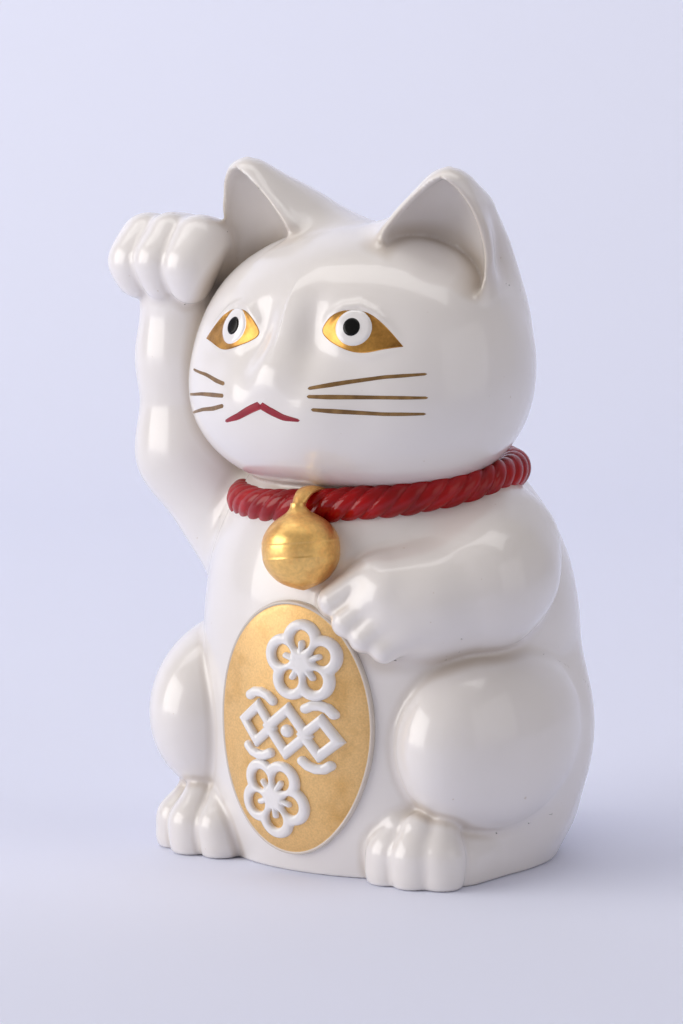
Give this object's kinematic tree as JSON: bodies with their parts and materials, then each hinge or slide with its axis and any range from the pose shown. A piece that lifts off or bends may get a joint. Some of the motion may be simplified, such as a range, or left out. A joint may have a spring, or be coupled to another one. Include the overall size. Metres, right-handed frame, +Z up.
{
  "type": "beckoning cat figurine",
  "caption": "Hollow glazed ceramic beckoning cat with one raised paw, rope collar, bell and gold coin, used as a shelf ornament and coin bank with a pull-out base stopper.",
  "frame": {"origin": "on the ground, at the middle of the resting face between the two feet and the back, on the cat's plane of symmetry", "axes": "+Z up from the resting face to the ear tips; -Y is where the cat faces; +X is the cat's own left, the side of the lowered paw"},
  "size_m": [0.1396, 0.1249, 0.1985],
  "materials": {
    "ivory_glaze": "glossy ivory glaze, slightly warmer where it pools in the creases",
    "bare_clay": "unglazed, matt",
    "red_enamel": "glossy red overglaze enamel",
    "gilding": "satin gold overglaze",
    "white_relief": "glossy white raised slip",
    "stopper_rubber": "matt black soft rubber"
  },
  "bodies": {
    "figurine": {"body_shell": "ivory_glaze", "base_plate": "bare_clay", "head_shell": "ivory_glaze", "left_ear": "ivory_glaze", "right_ear": "ivory_glaze", "raised_arm": "ivory_glaze", "raised_paw": "ivory_glaze", "holding_arm": "ivory_glaze", "holding_paw": "ivory_glaze", "left_haunch": "ivory_glaze", "right_haunch": "ivory_glaze", "left_foot": "ivory_glaze", "right_foot": "ivory_glaze", "tail": "ivory_glaze", "collar_cord": "red_enamel", "bell": "gilding", "bell_loop": "gilding", "koban_plate": "gilding", "koban_blossom_upper": "white_relief", "koban_knot_middle": "white_relief", "koban_blossom_lower": "white_relief"},
    "stopper": {"base_stopper": "stopper_rubber"}
  },
  "joints": [
    {"name": "stopper_pull", "type": "slide", "parent": "figurine", "child": "stopper", "axis": [0, 0, -1], "range_m": [0, 0.03]}
  ]
}
